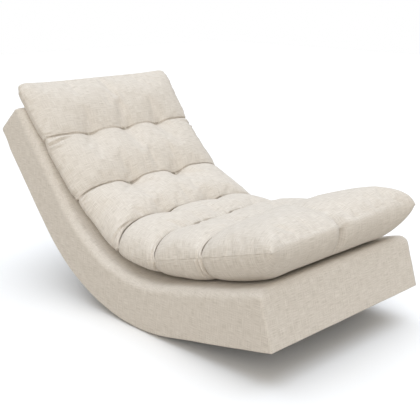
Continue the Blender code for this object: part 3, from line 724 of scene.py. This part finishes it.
def tuft_threads(lines, top, under):
    """Two loops of thread through the mattress at each tuft. A loop stands across the row, bridging its
    crease, and follows |along|^4 + |up|^4 = 1 between the top and the underside; a round tube is carried
    along it."""
    turn = np.linspace(0, 2 * pi, THREAD_POINTS + 1)
    along, up = (np.sign(wave) * np.sqrt(np.abs(wave)) for wave in (np.cos(turn), np.sin(turn)))
    round_turn = np.linspace(0, 2 * pi, THREAD_SIDES + 1)[:, None]
    sheets, ties = [], []
    for row in range(1, len(ROWS) - 1):
        line = row_line(lines, row)
        for number, tuft in enumerate(tufts(row)):
            ties.append(f"tuft_tie_{row}_{number + 1}")
            for x in (tuft - THREAD_GAP, tuft + THREAD_GAP):
                column = np.abs(top[line, :, 0] - x).argmin()
                before, after = (top[line + step, column] for step in (-THREAD_REACH, THREAD_REACH))
                high, low = (before + after) / 2, under[line, column]
                middle = (high + low) / 2
                path = middle + along[:, None] * (after - before) / 2 + up[:, None] * (high - low) / 2
                path[:, 0] = x
                tangent = np.roll(path[:-1], -1, axis=0) - np.roll(path[:-1], 1, axis=0)
                tangent = np.concatenate([tangent, tangent[:1]])
                side = np.array([1.0, 0.0, 0.0])
                other = np.cross(side, tangent / np.linalg.norm(tangent, axis=1, keepdims=True))
                ring = np.cos(round_turn) * side + np.sin(round_turn) * other[:, None]
                points = path[:, None] + THREAD_RADIUS * ring
                length = path_lengths(path)
                cloth = np.stack(np.broadcast_arrays(round_turn[:, 0] / (2 * pi), length[:, None]), axis=-1)
                sheets.append((points, cloth))
    piece = add_piece("tuft_threads", sheets_mesh("tuft_threads", sheets), thread, "mattress")
    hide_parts(*ties)


# Materials


def new_group(name, inputs, outputs):
    """An empty shader node group with the named inputs (with their values) and outputs."""
    group = bpy.data.node_groups.new(name, "ShaderNodeTree")
    for label, kind, value in inputs:
        socket = group.interface.new_socket(label, in_out="INPUT", socket_type=kind)
        if value is not None:
            socket.default_value = value
    for label, kind in outputs:
        group.interface.new_socket(label, in_out="OUTPUT", socket_type=kind)
    return group, group.nodes.new("NodeGroupInput"), group.nodes.new("NodeGroupOutput")


def feed(tree, node, values):
    """Gives a node's inputs their values, each a number or another node's output."""
    for socket, value in zip(node.inputs, values):
        if isinstance(value, (int, float)):
            socket.default_value = value
        else:
            tree.links.new(value, socket)


def math(tree, operation, *values):
    """A Math node; each value is a number or another node's output."""
    node = tree.nodes.new("ShaderNodeMath")
    node.operation = operation
    feed(tree, node, values)
    return node.outputs[0]


def combine(tree, *values):
    """A Combine XYZ node; each value is a number or another node's output."""
    node = tree.nodes.new("ShaderNodeCombineXYZ")
    feed(tree, node, values)
    return node.outputs[0]


def noise(tree, vector, scale, detail):
    """A Noise Texture's value."""
    node = tree.nodes.new("ShaderNodeTexNoise")
    node.inputs["Scale"].default_value = scale
    node.inputs["Detail"].default_value = detail
    tree.links.new(vector, node.inputs["Vector"])
    return node.outputs["Fac"]


def mix_value(tree, share, low, high):
    """low + share * (high - low)."""
    return math(tree, "ADD", math(tree, "MULTIPLY", share, math(tree, "SUBTRACT", high, low)), low)


def weave_group():
    """Plain weave of uneven threads. Shade is the sum of each thread's own tone, which changes slowly along
    it, and of longer streaks both ways. Height is the thread's round back, 1 - (2 f - 1)^2 of the part f of
    a thread, lower where it dives under a crossing thread."""
    group, source, result = new_group(
        "plain_weave",
        [("Vector", "NodeSocketVector", None), ("Pitch", "NodeSocketFloat", 0.0016)],
        [("Shade", "NodeSocketFloat"), ("Height", "NodeSocketFloat")])
    scaled = group.nodes.new("ShaderNodeVectorMath")
    scaled.operation = "SCALE"
    group.links.new(source.outputs["Vector"], scaled.inputs[0])
    group.links.new(math(group, "DIVIDE", 1.0, source.outputs["Pitch"]), scaled.inputs["Scale"])
    parts = group.nodes.new("ShaderNodeSeparateXYZ")
    group.links.new(scaled.outputs[0], parts.inputs[0])
    u, v = parts.outputs[0], parts.outputs[1]
    column, row = math(group, "FLOOR", u), math(group, "FLOOR", v)

    def tone(across, spread, along, change, seed, detail):
        at = (math(group, "MULTIPLY", across, spread), math(group, "MULTIPLY", along, change), seed)
        return noise(group, combine(group, *at), scale=1.0, detail=detail)

    def thread_tone(number, along, seed):
        return tone(number, THREAD_SPREAD, along, TONE_CHANGE, seed, detail=2.0)

    def streaks(across, along, seed):
        return tone(across, STREAK_ACROSS, along, STREAK_ALONG, seed, detail=0.0)

    def back(turns):
        centred = math(group, "SUBTRACT", math(group, "MULTIPLY", math(group, "FRACT", turns), 2.0), 1.0)
        return math(group, "SUBTRACT", 1.0, math(group, "MULTIPLY", centred, centred))

    def dived(thread, crossing):
        left = math(group, "MULTIPLY_ADD", crossing, THREAD_DIVE, 1.0 - THREAD_DIVE)
        return math(group, "MULTIPLY", thread, left)

    warp, weft = thread_tone(column, v, seed=0.0), thread_tone(row, u, seed=31.0)
    crossings = math(group, "ADD", math(group, "ABSOLUTE", column), math(group, "ABSOLUTE", row))
    over = math(group, "MODULO", crossings, 2.0)
    threads = mix_value(group, over, weft, warp)
    weft_streaks = math(group, "MULTIPLY", streaks(v, u, seed=17.0), WEFT_STREAKS)
    both_streaks = math(group, "MULTIPLY_ADD", streaks(u, v, seed=5.0), WARP_STREAKS, weft_streaks)
    shade = math(group, "MULTIPLY_ADD", threads, THREAD_TONE, both_streaks)
    group.links.new(shade, result.inputs["Shade"])
    round_warp, round_weft = back(u), back(v)
    relief = mix_value(group, over, dived(round_weft, round_warp), dived(round_warp, round_weft))
    group.links.new(math(group, "MULTIPLY_ADD", relief, THREAD_BACK, threads), result.inputs["Height"])
    return group


def new_material(name, roughness):
    """A material, with its node tree and its Principled shader."""
    material = bpy.data.materials.new(name)
    material.use_nodes = True
    tree = material.node_tree
    shader = tree.nodes["Principled BSDF"]
    shader.inputs["Roughness"].default_value = roughness
    return material, tree, shader


def coordinates(tree, kind):
    """An output of the Texture Coordinate node: UV or Object."""
    return tree.nodes.new("ShaderNodeTexCoord").outputs[kind]


def colour_ramp(tree, value, stops):
    """Colours along a value from 0 to 1."""
    node = tree.nodes.new("ShaderNodeValToRGB")
    ramp = node.color_ramp
    while len(ramp.elements) < len(stops):
        ramp.elements.new(0.5)
    for element, (position, colour) in zip(ramp.elements, stops):
        element.position = position
        element.color = (*colour, 1.0)
    tree.links.new(value, node.inputs["Fac"])
    return node.outputs["Color"]


def add_bump(tree, shader, height, strength, distance):
    """A Bump node that feeds the shader's normal."""
    bump = tree.nodes.new("ShaderNodeBump")
    bump.inputs["Strength"].default_value = strength
    bump.inputs["Distance"].default_value = distance
    tree.links.new(height, bump.inputs["Height"])
    tree.links.new(bump.outputs["Normal"], shader.inputs["Normal"])


def woven(name, group, pitch, roughness, relief, stops):
    """Cloth in a plain weave, on the piece's own cloth coordinates."""
    material, tree, shader = new_material(name, roughness)
    weave = tree.nodes.new("ShaderNodeGroup")
    weave.node_tree = group
    weave.inputs["Pitch"].default_value = pitch
    tree.links.new(coordinates(tree, "UV"), weave.inputs["Vector"])
    tree.links.new(colour_ramp(tree, weave.outputs["Shade"], stops), shader.inputs["Base Color"])
    add_bump(tree, shader, weave.outputs["Height"], strength=0.6, distance=relief)
    shader.inputs["Sheen Weight"].default_value = 0.08
    shader.inputs["Sheen Roughness"].default_value = 0.6
    return material


def placed(tree, scale):
    """Object coordinates, stretched by a Mapping node."""
    mapping = tree.nodes.new("ShaderNodeMapping")
    mapping.inputs["Scale"].default_value = scale
    tree.links.new(coordinates(tree, "Object"), mapping.inputs["Vector"])
    return mapping.outputs["Vector"]


def grain_group():
    """Wood grain: growth rings as the sine of a noise, and short pores of a finer one. Shade is both
    together, and Height is the pores."""
    group, source, result = new_group("wood_grain", [("Vector", "NodeSocketVector", None)],
                                      [("Shade", "NodeSocketFloat"), ("Height", "NodeSocketFloat")])
    warp = noise(group, source.outputs["Vector"], scale=1.0, detail=3.0)
    rings = math(group, "SINE", math(group, "MULTIPLY", warp, RING_WAVES))
    pores = noise(group, source.outputs["Vector"], scale=9.0, detail=1.0)
    plain = math(group, "MULTIPLY_ADD", pores, PORE_TONE, WOOD_TONE)
    shade = math(group, "MULTIPLY_ADD", rings, RING_TONE, plain)
    group.links.new(shade, result.inputs["Shade"])
    group.links.new(pores, result.inputs["Height"])
    return group


def wooden(name, group, scale, roughness, stops):
    """Bare wood with its grain along the axis of the smallest scale."""
    material, tree, shader = new_material(name, roughness)
    grain = tree.nodes.new("ShaderNodeGroup")
    grain.node_tree = group
    tree.links.new(placed(tree, scale), grain.inputs["Vector"])
    tree.links.new(colour_ramp(tree, grain.outputs["Shade"], stops), shader.inputs["Base Color"])
    add_bump(tree, shader, grain.outputs["Height"], strength=0.4, distance=0.0004)
    return material


def speckled(name, scale, roughness, relief, stops):
    """A moulded or sprayed finish: fine speckles in its colour, its roughness and its relief."""
    material, tree, shader = new_material(name, roughness)
    speckles = noise(tree, coordinates(tree, "Object"), scale, detail=3.0)
    tree.links.new(colour_ramp(tree, speckles, stops), shader.inputs["Base Color"])
    smoothest = roughness - SPECKLE_ROUGHNESS / 2
    rough = math(tree, "MULTIPLY_ADD", speckles, SPECKLE_ROUGHNESS, smoothest)
    tree.links.new(rough, shader.inputs["Roughness"])
    add_bump(tree, shader, speckles, strength=0.5, distance=relief)
    return material


def twisted(name, pitch, stops):
    """Thread of twisted strands, on coordinates round it and along it: slanted rounded bands,
    1 - (2 f - 1)^2 of the part f of a turn. They give its relief, and its colour with painted shade, darker
    in the grooves between the strands."""
    material, tree, shader = new_material(name, roughness=0.7)
    parts = tree.nodes.new("ShaderNodeSeparateXYZ")
    tree.links.new(coordinates(tree, "UV"), parts.inputs[0])
    turns = math(tree, "ADD", parts.outputs[0], math(tree, "DIVIDE", parts.outputs[1], pitch))
    centred = math(tree, "MULTIPLY_ADD", math(tree, "FRACT", turns), 2.0, -1.0)
    strand = math(tree, "SUBTRACT", 1.0, math(tree, "MULTIPLY", centred, centred))
    # Painted shade: the colour is lighter on the strands' round backs and darker down in the grooves between
    # them.
    tree.links.new(colour_ramp(tree, strand, stops), shader.inputs["Base Color"])
    add_bump(tree, shader, strand, strength=0.8, distance=0.0003)
    return material


weave = weave_group()
grain = grain_group()
linen = woven("beige_linen", weave, pitch=0.0014, roughness=0.95, relief=0.0006,
              stops=[(0.24, (0.50, 0.455, 0.39)), (0.5, (0.665, 0.612, 0.545)), (0.76, (0.79, 0.745, 0.68))])
lining = woven("dark_lining", weave, pitch=0.0008, roughness=0.95, relief=0.0002,
               stops=[(0.3, (0.02, 0.02, 0.02)), (0.7, (0.06, 0.06, 0.06))])
tape = woven("hook_and_loop_tape", weave, pitch=0.0011, roughness=0.9, relief=0.0006,
             stops=[(0.3, (0.20, 0.19, 0.18)), (0.7, (0.40, 0.39, 0.36))])
# The thread's darker colour stop is painted shade, in the grooves between its strands.
thread = twisted("tufting_thread", pitch=0.004, stops=[(0.0, (0.55, 0.51, 0.44)), (1.0, (0.82, 0.78, 0.70))])
plywood = wooden("birch_plywood", grain, scale=(22, 1.6, 22), roughness=0.6,
                 stops=[(0.3, (0.48, 0.33, 0.18)), (0.7, (0.68, 0.52, 0.33))])
softwood = wooden("planed_softwood", grain, scale=(1.4, 24, 24), roughness=0.65,
                  stops=[(0.3, (0.56, 0.38, 0.20)), (0.7, (0.77, 0.60, 0.39))])
steel = speckled("black_steel", scale=900, roughness=0.45, relief=0.0001,
                 stops=[(0.3, (0.06, 0.06, 0.07)), (0.7, (0.10, 0.10, 0.11))])
rubber = speckled("black_rubber", scale=1500, roughness=0.8, relief=0.0002,
                  stops=[(0.3, (0.02, 0.02, 0.02)), (0.7, (0.045, 0.045, 0.045))])

# Finishes of the solids that are kept, by the first words of their names
FINISHES = {"side_frame": plywood, "deck_board": plywood, "belly_board": plywood, "front_board": plywood,
            "head_board": plywood, "corner_block": softwood, "deck_rail": softwood, "belly_rail": softwood,
            "ballast_keeper": softwood, "ballast_bar": steel, "ballast_strap": steel, "floor_strip": rubber,
            "loop_strip": tape, "hook_strip": tape}
for name, node in nodes.items():
    for start, finish in FINISHES.items():
        if name.startswith(start):
            node.data.materials.clear()
            node.data.materials.append(finish)

base_upholstery()
belly_lining()
mattress()


# Stage, light and camera


def seen_rays(tree):
    """1 for rays from the camera and for those that are mirrored or refracted, 0 for scattered light."""
    path = tree.nodes.new("ShaderNodeLightPath")
    mirrored = math(tree, "MAXIMUM", path.outputs["Is Glossy Ray"], path.outputs["Is Transmission Ray"])
    return math(tree, "MAXIMUM", path.outputs["Is Camera Ray"], mirrored)


def white_when_seen(tree, lit, output):
    """Mixes a shader with plain white light for rays from the camera and for reflections of it."""
    white = tree.nodes.new("ShaderNodeBackground")
    mix = tree.nodes.new("ShaderNodeMixShader")
    tree.links.new(seen_rays(tree), mix.inputs["Fac"])
    tree.links.new(lit, mix.inputs[1])
    tree.links.new(white.outputs[0], mix.inputs[2])
    tree.links.new(mix.outputs[0], output)
    white.inputs["Color"].default_value = (1, 1, 1, 1)
    white.inputs["Strength"].default_value = 1.0


scene = bpy.context.scene
scene.view_settings.view_transform = "Standard"

world = bpy.data.worlds.new("studio")
scene.world = world
world.use_nodes = True
world_tree = world.node_tree
fill_light = world_tree.nodes["Background"]
fill_light.inputs["Color"].default_value = (1.0, 0.96, 0.89, 1)
fill_light.inputs["Strength"].default_value = 0.54
white_when_seen(world_tree, fill_light.outputs[0], world_tree.nodes["World Output"].inputs["Surface"])

FLOOR_HALF = 9
FLOOR_SEEN = (0.95, 0.95, 0.95, 1)  # the floor's colour where it is seen
FLOOR_BOUNCE = (0.45, 0.42, 0.38, 1)  # and in the light that it throws back
floor_mesh = bpy.data.meshes.new("floor")
floor_corners = [(x * FLOOR_HALF, y * FLOOR_HALF, 0) for x, y in ((-1, -1), (1, -1), (1, 1), (-1, 1))]
floor_mesh.from_pydata(floor_corners, [], [(0, 1, 2, 3)])
floor = bpy.data.objects.new("floor", floor_mesh)
scene.collection.objects.link(floor)
floor_paint, floor_tree, floor_shader = new_material("floor_paint", roughness=0.9)
floor_colour = floor_tree.nodes.new("ShaderNodeMix")
floor_colour.data_type = "RGBA"
floor_colour.inputs["A"].default_value = FLOOR_BOUNCE
floor_colour.inputs["B"].default_value = FLOOR_SEEN
floor_tree.links.new(seen_rays(floor_tree), floor_colour.inputs["Factor"])
floor_tree.links.new(floor_colour.outputs["Result"], floor_shader.inputs["Base Color"])
floor_mesh.materials.append(floor_paint)


def soft_lamp(name, energy, angle, colour, direction):
    """A broad, even lamp: light from an angle wide around a direction."""
    light = bpy.data.lights.new(name, "SUN")
    light.energy = energy
    light.angle = radians(angle)
    light.color = colour
    lamp = bpy.data.objects.new(name, light)
    lamp.rotation_euler = Vector(direction).to_track_quat("-Z", "Y").to_euler()
    scene.collection.objects.link(lamp)


soft_lamp("overhead", energy=1.95, angle=80, colour=(0.85, 0.935, 1.06), direction=(-0.16, -0.14, -1.0))
soft_lamp("front_fill", energy=1.26, angle=55, colour=(1.0, 0.97, 0.925), direction=(0.67, 0.60, -0.34))

CAMERA = Vector((-1.7831, -1.8933, 1.0481))
TARGET = Vector((-0.0295, -0.0978, 0.3272))
LENS = 67.35
view = bpy.data.cameras.new("camera")
view.lens = LENS
camera = bpy.data.objects.new("camera", view)
camera.location = CAMERA
camera.rotation_euler = (TARGET - CAMERA).to_track_quat("-Z", "Y").to_euler()
scene.collection.objects.link(camera)
scene.camera = camera
